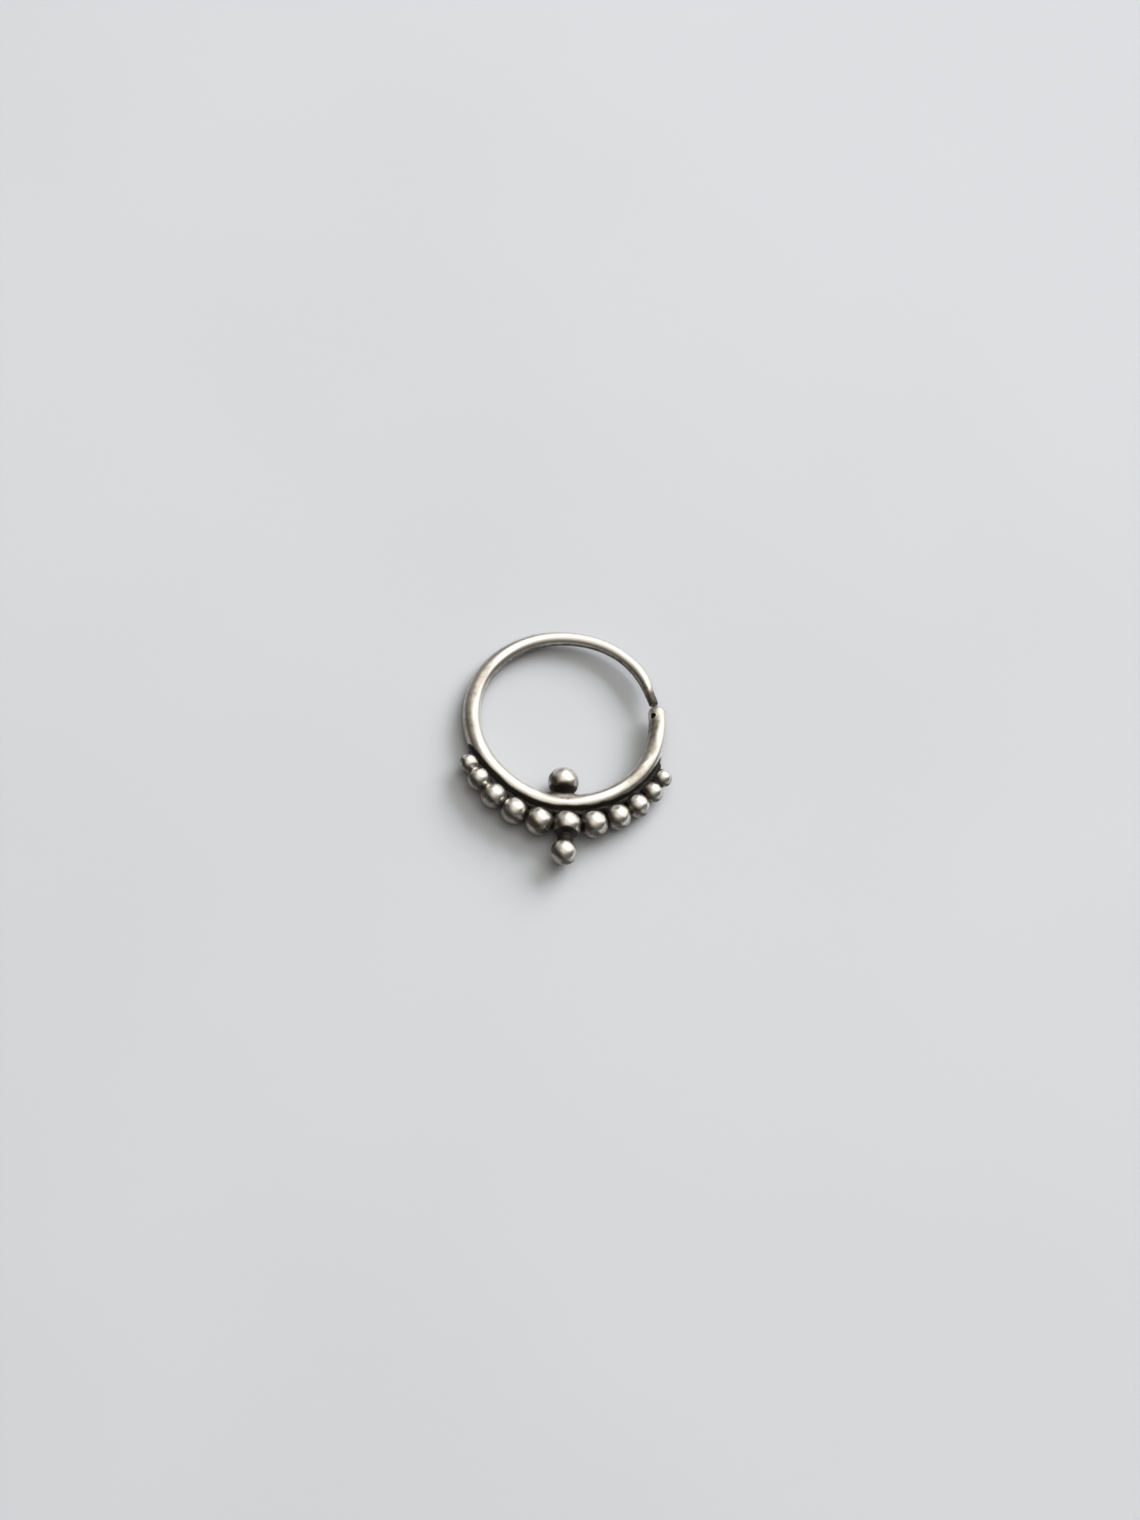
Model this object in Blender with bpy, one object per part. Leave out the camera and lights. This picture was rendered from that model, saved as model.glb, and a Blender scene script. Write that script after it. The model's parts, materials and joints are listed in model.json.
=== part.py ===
"""Oxidised silver septum ring, lying on its back.

The ring is one soldered piece of metal: a round wire hoop that thins towards the arc worn in the
piercing, a crown of graduated balls on the outside of the thick part, one large ball inside the
hoop, and a drop ball on a short neck below the middle of the crown.

Units are metres. In the ring's own frame the hoop lies in the XY plane about the origin, the drop
points to -Y and the thin arc to +Y. Angles are in degrees round the hoop, 0 at -Y and 90 at +X.
At the end the ring is leaned and lowered so that it lies on the plane z = 0 as it would by itself.
"""

import math

import bmesh
import bpy
import numpy as np
from mathutils import Vector

NAME = "septum_ring"

# Hoop
HOOP_DIAMETER = 0.0100  # across the wire's centreline
WIRE_DIAMETER = 0.00100  # thick part of the wire, which carries the crown
ARC_DIAMETER = 0.00068  # thin arc, worn in the piercing
TIP_DIAMETER = 0.00050  # end of the thin arc, filed down on its outer side
OPENING_ANGLE = 98.0  # where the thick end's dome begins
END_GAP = 0.00016  # between the dome and the thin end's tip
TIP_CHAMFER = 0.00003

# Drilled pit in the thick end
PIT_DIAMETER = 0.00030
PIT_DEPTH = 0.00026
PIT_SETBACK = 0.00025  # from the start of the dome back along the wire
PIT_LEAN = 38.0  # from straight up towards the hoop's inside

# Crown of balls
CROWN_BALL_DIAMETER = 0.00158  # the middle ball, the largest of the row
CROWN_ANGLE = 1.8  # where the middle ball sits
WIRE_SINK = 0.00004  # how deep a ball is soldered into the wire
BALL_SINK = 0.00005  # how deep neighbouring balls are soldered together
SEAM_DIAMETER = 0.00044  # solder in the groove between the wire and the row
SEAM_DEPTH = 0.00016  # how much of the solder lies inside the wire
SEAM_OVERRUN = 0.00024  # solder past the last ball on each side

# Inner ball and drop
INNER_BALL_DIAMETER = 0.00165
INNER_BALL_ANGLE = -0.6
INNER_BALL_LIFT = 4.0
DROP_BALL_DIAMETER = 0.00142
DROP_LEAN = 6.5  # of the drop from straight outward, towards -X
NECK_DIAMETER = 0.00084
NECK_LENGTH = 0.00012  # bare neck between the middle ball and the drop

# How finely the solids are faceted
WIRE_SECTIONS = 88
TIP_SECTIONS = 12
TIP_SHARE = 0.05  # of the wire's length, which has the finer tip sections
DOME_RING_ANGLES = (78.0, 60.0, 42.0, 22.0)
WIRE_SIDES = 16
SEAM_SECTIONS = 40
SEAM_SIDES = 12
SMALL_BALL_SIDES = 16
LARGE_BALL_SIDES = 20
NECK_SIDES = 16
PIT_SIDES = 14
WELD = 0.000001

# Sections of the hoop from the thick end to the tip: place along the wire as a share of its
# length, reach as a share of the hoop's radius, thickness, and the share of the tip's filing
# that is taken off the outer side.
HOOP_SECTIONS = (
    (0.000, 0.997, WIRE_DIAMETER, 0.0),
    (0.050, 0.996, WIRE_DIAMETER, 0.0),
    (0.110, 1.009, WIRE_DIAMETER, 0.0),
    (0.200, 1.003, WIRE_DIAMETER * 0.99, 0.0),
    (0.300, 1.008, WIRE_DIAMETER, 0.0),
    (0.400, 0.988, WIRE_DIAMETER * 1.02, 0.0),
    (0.490, 1.000, WIRE_DIAMETER * 1.03, 0.0),
    (0.600, 1.009, WIRE_DIAMETER * 0.95, 0.0),
    (0.700, 0.995, ARC_DIAMETER * 1.27, 0.0),
    (0.790, 0.991, ARC_DIAMETER * 1.08, 0.0),
    (0.890, 1.009, ARC_DIAMETER * 1.01, 0.0),
    (0.955, 0.997, ARC_DIAMETER, 0.0),
    (0.975, 0.997, TIP_DIAMETER * 1.10, 1.0),
    (1.000, 0.999, TIP_DIAMETER, 1.0),
)

# The row on each side of the middle ball, from the middle outward: diameter as a share of the
# middle ball's, stand-off from the wire as a share of its own radius, and lift in degrees.
MIDDLE_BALL = (1.00, 0.00, 3.0)
LEFT_BALLS = (
    (0.96, 0.00, 1.0),
    (0.92, 0.00, 1.0),
    (0.87, 0.00, 5.0),
    (0.77, 0.00, 9.0),
    (0.64, 0.00, 7.0),
)
RIGHT_BALLS = (
    (0.96, 0.04, -5.0),
    (0.89, 0.08, -10.0),
    (0.82, 0.12, -13.0),
    (0.70, 0.25, -12.0),
    (0.62, 0.28, -9.0),
)
NEXT_BALL_REACH = 90.0  # degrees of hoop within which the next ball of the row is looked for
NEXT_BALL_HALVINGS = 40

# The seam's two ends: the share of its length over which each tapers, and how thick it ends
SEAM_TAPER = 0.06
SEAM_END = 0.3

# The search for the pose in which the ring lies still, in leans of the hoop's axis
WIDEST_LEAN = 0.35
FINEST_LEAN = 0.000001
LEANS_EACH_WAY = 21

SILVER_COLOUR = (0.78, 0.76, 0.72, 1.0)
SILVER_ROUGHNESS = 0.28


def smooth_through(places, values, at):
    """A smooth curve through (place, value) rows, with each row's slope that of its neighbours."""
    places = np.asarray(places)
    values = np.asarray(values)
    at = np.clip(at, places[0], places[-1])
    slopes = np.gradient(values, places)
    k = np.clip(np.searchsorted(places, at, side="right") - 1, 0, len(places) - 2)
    width = places[k + 1] - places[k]
    t = (at - places[k]) / width
    start = (1 + 2 * t) * (1 - t) ** 2 * values[k] + t * (1 - t) ** 2 * width * slopes[k]
    end = t * t * (3 - 2 * t) * values[k + 1] - t * t * (1 - t) * width * slopes[k + 1]
    return start + end


def hoop_sweep():
    """Degrees of wire from the start of the dome round to the tip, with the opening left out."""
    dome_and_gap = WIRE_DIAMETER / 2 + END_GAP
    return 360.0 - math.degrees(dome_and_gap / (HOOP_DIAMETER / 2))


def hoop_at(angle):
    """The wire's centreline radius and thickness at an angle round the hoop."""
    rows = np.array(HOOP_SECTIONS)
    place = np.mod(OPENING_ANGLE - np.asarray(angle, dtype=float), 360.0) / hoop_sweep()
    reach = smooth_through(rows[:, 0], rows[:, 1], place) * HOOP_DIAMETER / 2
    thickness = smooth_through(rows[:, 0], rows[:, 2], place)
    filed = smooth_through(rows[:, 0], rows[:, 3], place)
    return reach - filed * (ARC_DIAMETER - TIP_DIAMETER) / 2, thickness


def round_hoop(radius, angle, height=0.0):
    """The point or points at a radius and an angle round the hoop."""
    turn = np.radians(angle)
    return np.stack(np.broadcast_arrays(radius * np.sin(turn), -radius * np.cos(turn), height), axis=-1)


def hoop_path():
    """Points and radii of the hoop, from the dome's crest to the tip."""
    main = np.linspace(0.0, 1.0, WIRE_SECTIONS)
    tip = np.linspace(1.0 - TIP_SHARE, 1.0, TIP_SECTIONS)
    places = np.concatenate([main[main < tip[0]], tip])
    angles = OPENING_ANGLE - places * hoop_sweep()
    reach, thickness = hoop_at(angles)
    points = round_hoop(reach, angles)
    radii = thickness / 2

    outward = (points[0] - points[1]) / np.linalg.norm(points[0] - points[1])
    rise = np.radians(DOME_RING_ANGLES)
    dome = points[0] + radii[0] * np.sin(rise)[:, None] * outward
    dome_radii = radii[0] * np.cos(rise)

    onward = (points[-1] - points[-2]) / np.linalg.norm(points[-1] - points[-2])
    edge = points[-1] + TIP_CHAMFER * onward
    points = np.concatenate([dome, points, edge[None]])
    radii = np.concatenate([dome_radii, radii, [radii[-1] - TIP_CHAMFER]])
    return points, radii


def crown_balls():
    """Centre and radius of each crown ball, from the last on the left to the last on the right.

    Each ball sits against the wire and against its neighbour nearer the middle.
    """

    def seat(row, angle):
        share, stand_off, lift = row
        radius = share * CROWN_BALL_DIAMETER / 2
        reach, thickness = hoop_at(angle)
        out = thickness / 2 + radius * (1 + stand_off) - WIRE_SINK
        tilt = math.radians(lift)
        return round_hoop(reach + out * math.cos(tilt), angle, out * math.sin(tilt)), radius

    def walk(rows, side):
        placed = []
        angle = CROWN_ANGLE
        last_centre, last_radius = seat(MIDDLE_BALL, angle)
        for row in rows:
            near, far = angle, angle + side * NEXT_BALL_REACH
            for _ in range(NEXT_BALL_HALVINGS):
                middle = (near + far) / 2
                centre, radius = seat(row, middle)
                touching = last_radius + radius - BALL_SINK
                if np.linalg.norm(centre - last_centre) < touching:
                    near = middle
                else:
                    far = middle
            angle = (near + far) / 2
            last_centre, last_radius = seat(row, angle)
            placed.append((last_centre, last_radius, angle, row[2]))
        return placed

    middle_centre, middle_radius = seat(MIDDLE_BALL, CROWN_ANGLE)
    middle_ball = (middle_centre, middle_radius, CROWN_ANGLE, MIDDLE_BALL[2])
    return walk(LEFT_BALLS, -1)[::-1] + [middle_ball] + walk(RIGHT_BALLS, 1)


def seam_path(balls):
    """Points and radii of the solder that lies along the wire, under the row of balls."""
    ball_angles = np.array([angle for _, _, angle, _ in balls])
    lifts = np.radians([lift for _, _, _, lift in balls])
    overrun = math.degrees((balls[0][1] + SEAM_OVERRUN) / (HOOP_DIAMETER / 2))
    angles = np.linspace(ball_angles[0] - overrun, ball_angles[-1] + overrun, SEAM_SECTIONS)
    tilt = np.interp(angles, ball_angles, lifts)
    reach, thickness = hoop_at(angles)
    along = (angles - angles[0]) / (angles[-1] - angles[0])
    taper = np.clip(np.minimum(along, 1 - along) / SEAM_TAPER, 0.0, 1.0)
    radii = SEAM_DIAMETER / 2 * (SEAM_END + (1 - SEAM_END) * np.sqrt(taper))
    out = thickness / 2 + SEAM_DIAMETER / 2 - SEAM_DEPTH - (SEAM_DIAMETER / 2 - radii)
    return round_hoop(reach + out * np.cos(tilt), angles, out * np.sin(tilt)), radii


def clear_scene():
    for thing in list(bpy.data.objects):
        bpy.data.objects.remove(thing, do_unlink=True)


def make_collection(name):
    collection = bpy.data.collections.new(name)
    bpy.context.scene.collection.children.link(collection)
    return collection


def silver():
    """Polished silver, a little warm."""
    material = bpy.data.materials.new("oxidised_silver")
    material.use_nodes = True
    shader = material.node_tree.nodes["Principled BSDF"]
    shader.inputs["Base Color"].default_value = SILVER_COLOUR
    shader.inputs["Metallic"].default_value = 1.0
    shader.inputs["Roughness"].default_value = SILVER_ROUGHNESS
    material.diffuse_color = SILVER_COLOUR
    return material


def add_wire(name, points, radii, sides, collection):
    """A round wire through the points, as a closed mesh."""
    curve = bpy.data.curves.new(name + "_path", "CURVE")
    curve.dimensions = "3D"
    curve.twist_mode = "Z_UP"
    curve.bevel_depth = float(max(radii))
    curve.bevel_resolution = sides // 4 - 1
    curve.use_fill_caps = True
    spline = curve.splines.new("POLY")
    spline.points.add(len(points) - 1)
    for point, place, radius in zip(spline.points, points, radii):
        point.co = (*place, 1.0)
        point.radius = radius / curve.bevel_depth
    guide = bpy.data.objects.new(name + "_path", curve)
    collection.objects.link(guide)
    bpy.context.view_layer.update()

    evaluated = guide.evaluated_get(bpy.context.evaluated_depsgraph_get())
    mesh = bpy.data.meshes.new_from_object(evaluated)
    wire = bpy.data.objects.new(name, mesh)
    wire.matrix_world = guide.matrix_world.copy()
    collection.objects.link(wire)
    bpy.data.objects.remove(guide, do_unlink=True)
    shell = bmesh.new()
    shell.from_mesh(mesh)
    bmesh.ops.remove_doubles(shell, verts=shell.verts, dist=WELD)
    bmesh.ops.recalc_face_normals(shell, faces=shell.faces)
    shell.to_mesh(mesh)
    shell.free()
    return wire


def add_ball(name, centre, radius, sides, collection):
    mesh = bpy.data.meshes.new(name)
    shell = bmesh.new()
    bmesh.ops.create_uvsphere(shell, u_segments=sides, v_segments=sides * 3 // 4, radius=radius)
    shell.to_mesh(mesh)
    shell.free()
    ball = bpy.data.objects.new(name, mesh)
    ball.location = Vector(centre)
    collection.objects.link(ball)
    return ball


def add_rod(name, start, end, diameter, sides, collection):
    """A plain cylinder from start to end."""
    start = Vector(start)
    along = Vector(end) - start
    mesh = bpy.data.meshes.new(name)
    shell = bmesh.new()
    bmesh.ops.create_cone(
        shell,
        cap_ends=True,
        segments=sides,
        radius1=diameter / 2,
        radius2=diameter / 2,
        depth=along.length,
    )
    shell.to_mesh(mesh)
    shell.free()
    rod = bpy.data.objects.new(name, mesh)
    rod.location = start + along / 2
    rod.rotation_mode = "QUATERNION"
    rod.rotation_quaternion = along.to_track_quat("Z", "Y")
    collection.objects.link(rod)
    return rod


def add_crown(balls, collection):
    for number, (centre, radius, _, _) in enumerate(balls, start=1):
        add_ball(f"crown_ball_{number:02d}", centre, radius, SMALL_BALL_SIDES, collection)
    points, radii = seam_path(balls)
    add_wire("solder_seam", points, radii, SEAM_SIDES, collection)


def add_inner_ball(collection):
    radius = INNER_BALL_DIAMETER / 2
    reach, thickness = hoop_at(INNER_BALL_ANGLE)
    inward = thickness / 2 + radius - WIRE_SINK
    tilt = math.radians(INNER_BALL_LIFT)
    centre = round_hoop(
        reach - inward * math.cos(tilt), INNER_BALL_ANGLE, inward * math.sin(tilt)
    )
    add_ball("inner_ball", centre, radius, LARGE_BALL_SIDES, collection)


def add_drop(middle_ball, collection):
    """The drop ball and its neck, outward from the middle ball of the crown."""
    centre = Vector(middle_ball[0])
    direction = Vector(round_hoop(1.0, CROWN_ANGLE - DROP_LEAN))
    radius = DROP_BALL_DIAMETER / 2
    distance = middle_ball[1] + NECK_LENGTH + radius
    drop_centre = centre + float(distance) * direction
    drop_centre.z = 0.0
    add_ball("drop_ball", drop_centre, radius, LARGE_BALL_SIDES, collection)
    add_rod("drop_neck", centre, drop_centre, NECK_DIAMETER, NECK_SIDES, collection)


def add_pit_cutter(collection):
    """A short drill at the inner upper side of the thick end, square to the wire's surface."""
    angle = OPENING_ANGLE - math.degrees(PIT_SETBACK / (HOOP_DIAMETER / 2))
    reach, thickness = hoop_at(angle)
    lean = math.radians(PIT_LEAN)
    axis_point = Vector(round_hoop(reach, angle))
    drill = Vector(round_hoop(-math.sin(lean), angle, math.cos(lean)))
    thickness = float(thickness)
    floor = axis_point + (thickness / 2 - PIT_DEPTH) * drill
    above = axis_point + thickness * drill
    add_rod("pit_cutter", floor, above, PIT_DIAMETER, PIT_SIDES, collection)


def solid_of(thing):
    """Vertices and centre of mass of an object's finished solid, in its parent's frame."""
    evaluated = thing.evaluated_get(bpy.context.evaluated_depsgraph_get())
    mesh = evaluated.to_mesh()
    mesh.calc_loop_triangles()
    points = np.empty(len(mesh.vertices) * 3)
    mesh.vertices.foreach_get("co", points)
    points = points.reshape(-1, 3)
    corners = np.empty(len(mesh.loop_triangles) * 3, dtype=np.int64)
    mesh.loop_triangles.foreach_get("vertices", corners)
    evaluated.to_mesh_clear()
    a, b, c = points[corners.reshape(-1, 3)].transpose(1, 0, 2)
    volumes = np.einsum("ij,ij->i", a, np.cross(b, c)) / 6
    centre = ((a + b + c) / 4 * volumes[:, None]).sum(axis=0) / volumes.sum()
    return points, centre


def resting_up(points, centre):
    """The direction in the ring that points up when it lies still on its back.

    The ring comes to rest where its centre of mass is lowest. The search halves a square of
    leans about the best one found so far.
    """
    best = np.zeros(2)
    span = WIDEST_LEAN
    while span > FINEST_LEAN:
        steps = np.linspace(-span, span, LEANS_EACH_WAY)
        leans = best + np.stack(np.meshgrid(steps, steps), axis=-1).reshape(-1, 2)
        ups = np.column_stack([leans, np.sqrt(1 - (leans**2).sum(axis=1))])
        heights = -((points - centre) @ ups.T).min(axis=0)
        best = leans[heights.argmin()]
        span /= 2
    return Vector((*best, math.sqrt(1 - best @ best)))


def lay_down(frame, thing):
    """Lean the ring's frame to its resting pose, on z = 0 and centred on the origin."""
    points, centre = solid_of(thing)
    turn = resting_up(points, centre).rotation_difference(Vector((0.0, 0.0, 1.0)))
    leaned = points @ np.array(turn.to_matrix()).T
    low = leaned.min(axis=0)
    high = leaned.max(axis=0)
    frame.rotation_mode = "QUATERNION"
    frame.rotation_quaternion = turn
    frame.location = (-(low[0] + high[0]) / 2, -(low[1] + high[1]) / 2, -low[2])


def add_boolean(thing, name, operation, cutters):
    boolean = thing.modifiers.new(name, "BOOLEAN")
    boolean.operation = operation
    boolean.solver = "EXACT"
    boolean.operand_type = "COLLECTION"
    boolean.collection = cutters


def build():
    clear_scene()
    parts = make_collection(NAME)
    soldered = make_collection(NAME + "_soldered_on")
    drilled = make_collection(NAME + "_drilled_out")

    balls = crown_balls()
    points, radii = hoop_path()
    ring = add_wire("beaded_hoop", points, radii, WIRE_SIDES, parts)
    add_crown(balls, soldered)
    add_inner_ball(soldered)
    add_drop(balls[len(LEFT_BALLS)], soldered)
    add_pit_cutter(drilled)
    add_boolean(ring, "solder", "UNION", soldered)
    add_boolean(ring, "pit", "DIFFERENCE", drilled)

    frame = bpy.data.objects.new("ring_frame", None)
    frame.empty_display_size = HOOP_DIAMETER / 4
    parts.objects.link(frame)
    ring.parent = frame
    for cutter in list(soldered.objects) + list(drilled.objects):
        cutter.parent = frame
        cutter.hide_render = True
        cutter.display_type = "WIRE"
    bpy.context.view_layer.update()
    lay_down(frame, ring)

    ring.data.materials.append(silver())
    ring.data.shade_smooth()
    bpy.context.view_layer.update()


build()
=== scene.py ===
"""Looks of an oxidised silver septum ring that lies on its back on a pale floor.

Every surface is worked out in the ring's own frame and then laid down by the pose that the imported
record's mount gives. In the ring's own frame the hoop lies in the XY plane about the origin, the
drop points to -Y and the thin arc to +Y. Angles are in degrees round the hoop, 0 at -Y and 90 at
+X. Lengths are metres. Pairs named for a rise or a fade are the values between which it happens.
"""

import json
import math

import bpy
import numpy as np
from mathutils import Matrix, Vector


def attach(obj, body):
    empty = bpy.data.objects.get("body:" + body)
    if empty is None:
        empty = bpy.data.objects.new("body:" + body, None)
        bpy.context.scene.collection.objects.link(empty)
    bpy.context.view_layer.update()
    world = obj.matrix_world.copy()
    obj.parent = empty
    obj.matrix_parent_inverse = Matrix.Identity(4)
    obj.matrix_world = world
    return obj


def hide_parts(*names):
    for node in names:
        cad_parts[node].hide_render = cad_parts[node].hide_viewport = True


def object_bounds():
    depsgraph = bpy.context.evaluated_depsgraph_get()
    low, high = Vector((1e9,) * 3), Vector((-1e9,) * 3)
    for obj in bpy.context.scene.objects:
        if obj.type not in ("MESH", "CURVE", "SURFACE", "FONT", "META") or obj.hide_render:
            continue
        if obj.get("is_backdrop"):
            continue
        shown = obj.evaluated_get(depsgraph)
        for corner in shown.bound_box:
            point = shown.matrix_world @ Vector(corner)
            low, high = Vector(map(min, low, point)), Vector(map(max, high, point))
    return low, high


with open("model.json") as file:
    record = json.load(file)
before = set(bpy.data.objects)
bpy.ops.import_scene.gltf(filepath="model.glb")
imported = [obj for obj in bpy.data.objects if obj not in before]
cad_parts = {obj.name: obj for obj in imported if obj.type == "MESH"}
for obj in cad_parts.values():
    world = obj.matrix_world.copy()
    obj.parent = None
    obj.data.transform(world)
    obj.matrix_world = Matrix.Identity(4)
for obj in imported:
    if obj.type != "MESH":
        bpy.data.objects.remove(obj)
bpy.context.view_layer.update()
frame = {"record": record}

bl_info = {
    "name": "Septum ring",
    "version": (1, 0, 0),
    "blender": (4, 5, 0),
    "location": "3D View > Sidebar > Septum ring",
    "description": "Builds an oxidised silver septum ring with a beaded crown",
    "category": "Add Mesh",
}

RECORD = frame["record"]
NODE = "beaded_hoop"
UP = np.array([0.0, 0.0, 1.0])

# Sections of the hoop from the thick end to the tip: place along the wire as a share of its
# length, reach as a share of the hoop's radius, thickness as shares of the wire's, the arc's and
# the tip's diameter, and the share of the tip's filing that is taken off the outer side.
HOOP_SECTIONS = np.array([
    [0.000, 0.997, 1.00, 0.00, 0.00, 0.0],
    [0.050, 0.996, 1.00, 0.00, 0.00, 0.0],
    [0.110, 1.009, 1.00, 0.00, 0.00, 0.0],
    [0.200, 1.003, 0.99, 0.00, 0.00, 0.0],
    [0.300, 1.008, 1.00, 0.00, 0.00, 0.0],
    [0.400, 0.988, 1.02, 0.00, 0.00, 0.0],
    [0.490, 1.000, 1.03, 0.00, 0.00, 0.0],
    [0.600, 1.009, 0.95, 0.00, 0.00, 0.0],
    [0.700, 0.995, 0.00, 1.27, 0.00, 0.0],
    [0.790, 0.991, 0.00, 1.08, 0.00, 0.0],
    [0.890, 1.009, 0.00, 1.01, 0.00, 0.0],
    [0.955, 0.997, 0.00, 1.00, 0.00, 0.0],
    [0.975, 0.997, 0.00, 0.00, 1.10, 1.0],
    [1.000, 0.999, 0.00, 0.00, 1.00, 1.0],
])
OPENING_ANGLE = 98.0  # where the thick end's dome begins
TIP_CHAMFER = 0.00003

# Drilled pit in the thick end
PIT_SETBACK = 0.00025  # from the start of the dome back along the wire
PIT_LEAN = 38.0  # from straight up towards the hoop's inside
PIT_CONE = 0.35  # how fast its bottom rises away from its middle
PIT_EDGE_INSIDE = 0.000018  # the rounded edge, on each side of the pit's radius
PIT_EDGE_OUTSIDE = 0.000022
BURR_HEIGHT = 0.000010
BURR_WIDTH = 0.00003

# The row on each side of the middle ball, from the middle outward: diameter as a share of the
# middle ball's, stand-off from the wire as a share of its own radius, and lift in degrees.
MIDDLE_BALL = (1.00, 0.00, 3.0)
LEFT_BALLS = (
    (0.96, 0.00, 1.0),
    (0.92, 0.00, 1.0),
    (0.87, 0.00, 5.0),
    (0.77, 0.00, 9.0),
    (0.64, 0.00, 7.0),
)
RIGHT_BALLS = (
    (0.96, 0.04, -5.0),
    (0.89, 0.08, -10.0),
    (0.82, 0.12, -13.0),
    (0.70, 0.25, -12.0),
    (0.62, 0.28, -9.0),
)
CROWN_ANGLE = 1.8  # where the middle ball sits
NEXT_BALL_REACH = 90.0  # degrees within which the next ball is looked for
NEXT_BALL_HALVINGS = 40
WIRE_SINK = 0.00004  # how deep a ball is soldered into the wire
BALL_SINK = 0.00005  # how deep neighbouring balls are soldered together
INNER_BALL_ANGLE = -0.6
INNER_BALL_LIFT = 4.0
DROP_LEAN = 6.5  # from straight outward, towards -X

# Solder seam: how much of it lies inside the wire, how far it runs past the last ball, the share
# of its length over which each end tapers and how thick it ends
SEAM_DEPTH = 0.00016
SEAM_OVERRUN = 0.00024
SEAM_TAPER = 0.06
SEAM_END = 0.3
SEAM_END_ROWS = 9.0  # sections over which each end closes
SEAM_END_FLAT = 0.02  # square of the share of the radius at which it closes

# Solder fillets: how far a surface swells towards a neighbour, and over what distance
FILLET_SWELL = 0.000035
FILLET_REACH = 0.00007
MOUND_SWELL = 0.00015  # of the wire at the inner ball's foot
MOUND_REACH = 0.00020
BALL_SWELL = 0.00005  # of a ball at its joints
BALL_SWELL_REACH = 0.00008
BALL_MOST_SWELL = 1.6  # in swells, where several joints meet

# Handmade balls: how oval, how uneven, and the flats' number, nearness and sharpness
BALL_OVAL = 0.018
BALL_UNEVEN = 0.004
BALL_UNEVEN_LENGTH = 1.1
FLATS = 7
FLAT_HEIGHTS = (0.960, 0.988)
FLAT_SHARPNESS = 130.0
FLAT_LEAST_COSINE = 0.2

# The drop: its root and its sphere's first section, as shares of a radius, and the neck's flare
DROP_ROOT = 0.5  # of the middle ball's radius
DROP_SPHERE_START = 0.86
DROP_POLE_GAP = 0.02  # radians between the last section and the pole
DROP_FLATS_RISE = (-0.8, -0.4)
NECK_FLARE = 0.10
NECK_FLARE_LENGTH = 0.00008
NECK_BLEND = 14

# Unevenness of surfaces and of the blackening's edges, in rows of depth, wavelength and seed
WIRE_WAVES = ((0.0035, 0.0016, 3), (0.0015, 0.0005, 4))
SEAM_WAVES = ((0.10, 0.0007, 8), (0.05, 0.00025, 9))
GROOVE_EDGE_WAVES = ((0.10, 0.0009, 5),)
DARKENING_EDGE_WAVES = ((6.0, 0.0016, 6),)
SEAM_BLACK_WAVES = ((0.10, 0.0004, 10),)
DROP_EDGE_WAVES = ((0.06, 0.0006, 42),)
BALL_EDGE_DEPTH = 0.07
BALL_EDGE_LENGTH = 0.0006
FIRST_CROWN_SEED = 11
INNER_BALL_SEED = 31
DROP_SEED = 41
EDGE_SEED_STEP = 50
UNEVEN_SEED_STEP = 70

# How finely the pieces are gridded
DOME_ROWS = 36
DOME_STEP = 2.0  # degrees from the dome's sections to its pole and to the wire
THICK_END_SHARE = 0.03  # of the wire's length, gridded finely for the pit
THICK_END_ROWS = 72
MIDDLE_ROWS = 620
TIP_SHARE = 0.05
TIP_ROWS = 60
CHAMFER_START = 10.0
CHAMFER_ROWS = 9
FLAT_ROWS = 6
FLAT_REACH = (0.9, 0.15)  # of the end's flat, as shares of its radius
WIRE_SIDES = 100
PIT_CROWDING = 0.55
SEAM_ROWS = 420
SEAM_SIDES = 40
BALL_SIDES = 84
BALL_ROWS = 56
NECK_ROWS = 34
DROP_ROWS = 80

# Blackening is 0 on bright silver and 1 in the deepest recess. Besides the patina of the recesses,
# it carries painted shade and painted dark reflections on the sides of the wire and balls that face
# away from the lights or towards the wire. On the wire, the groove's reach is a share of the
# finish's, by the angle round the hoop.
GROOVE_ANGLES = (-74.0, -60.0, 10.0, 30.0, 50.0, 66.0)
GROOVE_SHARES = (0.25, 1.00, 0.95, 0.85, 0.68, 0.40)
GROOVE_FADE = (0.55, 1.35)
SEAM_MARGIN = 0.00003  # how much nearer than it is the seam counts
FOOT_BLACK = 0.6  # at the inner ball's foot
FOOT_FADE = (-0.00002, 0.00004)
FOOT_TINGE = 0.37  # round that foot, on the wire's inner side
FOOT_TINGE_FADE = (0.0004, 0.00095)
FOOT_TINGE_RISE = (82.0, 104.0)

# Tarnish left on the wire where polishing missed it, together with painted shade and painted dark
# reflections on the inner side, the underside and the outer side away from the lights. A place
# across the wire is the angle from straight outward, over the top, to straight inward at 180. Each
# row has an angle round the hoop, where the inner side's darkening begins and its depth, and the
# outer side's depth and where it ends.
WIRE_TARNISH_AND_SHADE = np.array([
    [-250.0, 72.0, 0.45, 0.40, 90.0],
    [-240.0, 95.0, 0.45, 0.03, 60.0],
    [-210.0, 145.0, 0.48, 0.00, 60.0],
    [-180.0, 142.0, 0.48, 0.00, 60.0],
    [-150.0, 140.0, 0.46, 0.07, 60.0],
    [-120.0, 135.0, 0.42, 0.31, 114.0],
    [-80.0, 168.0, 0.25, 0.37, 92.0],
    [-50.0, 168.0, 0.15, 0.10, 60.0],
    [-10.0, 150.0, 0.10, 0.00, 60.0],
    [30.0, 132.0, 0.20, 0.05, 60.0],
    [50.0, 124.0, 0.28, 0.33, 124.0],
    [70.0, 70.0, 0.36, 0.02, 60.0],
    [90.0, 67.0, 0.46, 0.00, 60.0],
    [98.0, 74.0, 0.20, 0.00, 60.0],
])
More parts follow.
